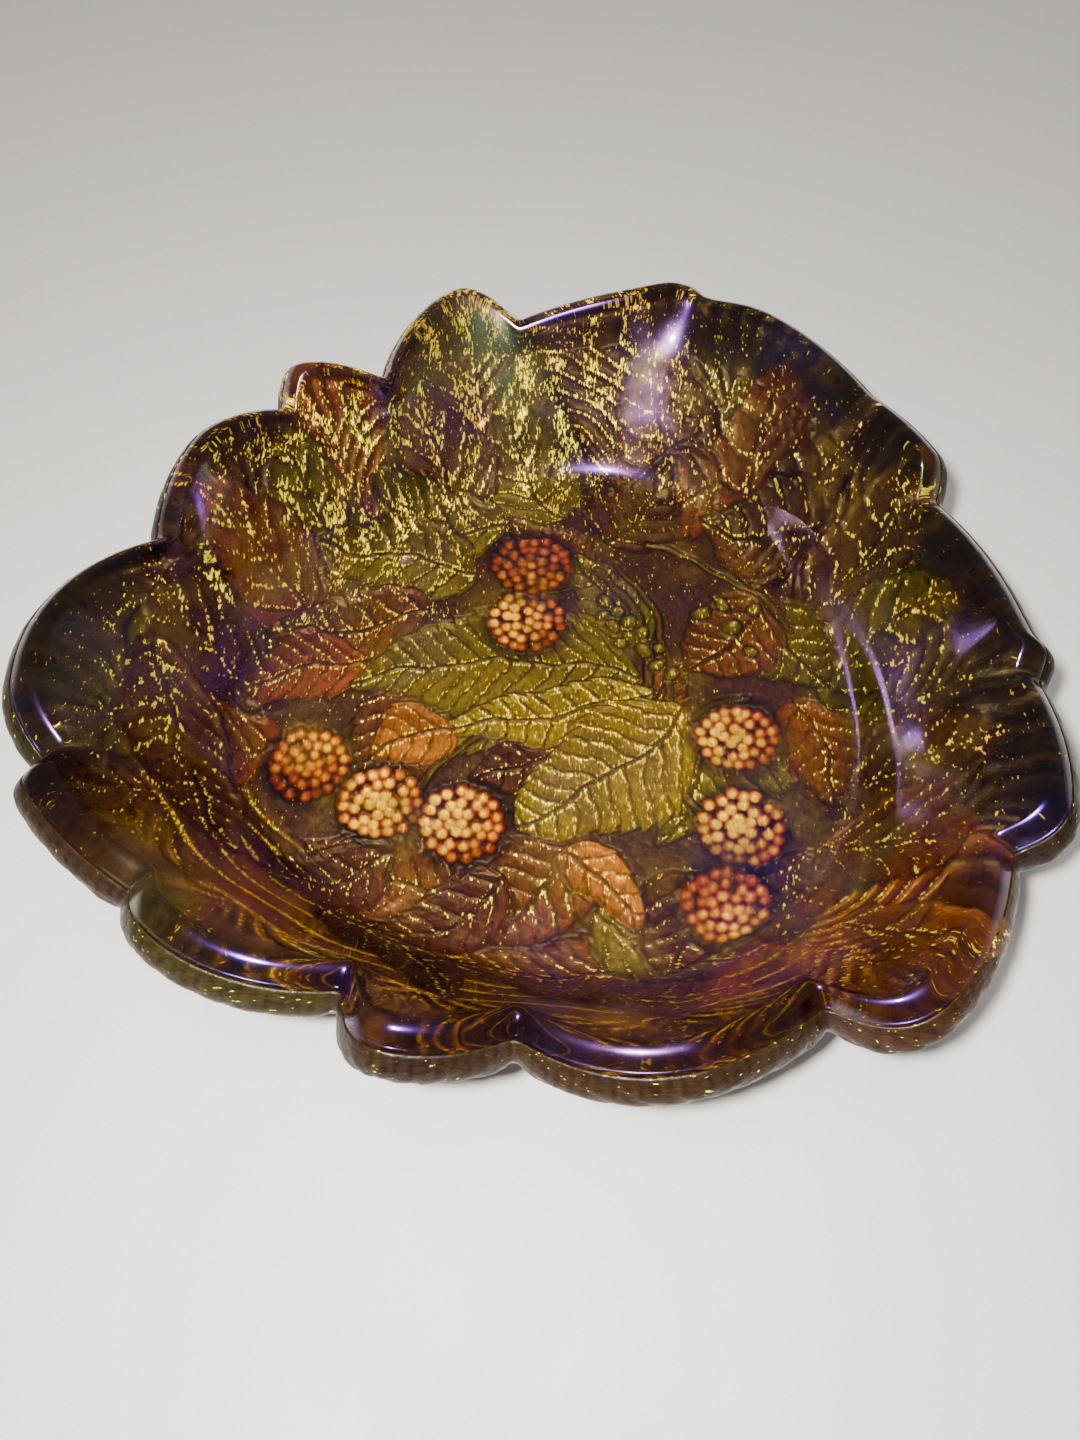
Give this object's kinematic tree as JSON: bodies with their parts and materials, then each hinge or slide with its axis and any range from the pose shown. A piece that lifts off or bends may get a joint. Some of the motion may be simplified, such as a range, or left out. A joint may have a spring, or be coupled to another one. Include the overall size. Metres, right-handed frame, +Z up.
{
  "type": "carnival glass bowl",
  "caption": "Three-sided pressed glass bowl with a leaf-scalloped rim, a smooth inside and berry-and-leaf relief outside, under iridescent lustre; holds fruit, sweets or trinkets.",
  "frame": {"origin": "the middle of the bowl's plan box, on the surface that the bowl stands on", "axes": "+Z up; +Y from the long side that faces the viewer towards the far leaves; +X to the viewer's right"},
  "size_m": [0.2088, 0.2022, 0.0476],
  "materials": {
    "amber_glass": "dark amber pressed glass, fire-polished and glossy",
    "violet_lustre": "thin iridescent film, glossy, violet and blue over amber",
    "gold_lustre": "iridescent metallic film on stippled relief, olive gold with orange berries"
  },
  "bodies": {
    "root": {"glass_bowl": "amber_glass", "lustre_inside": "violet_lustre", "lustre_outside": "gold_lustre"}
  },
  "joints": []
}
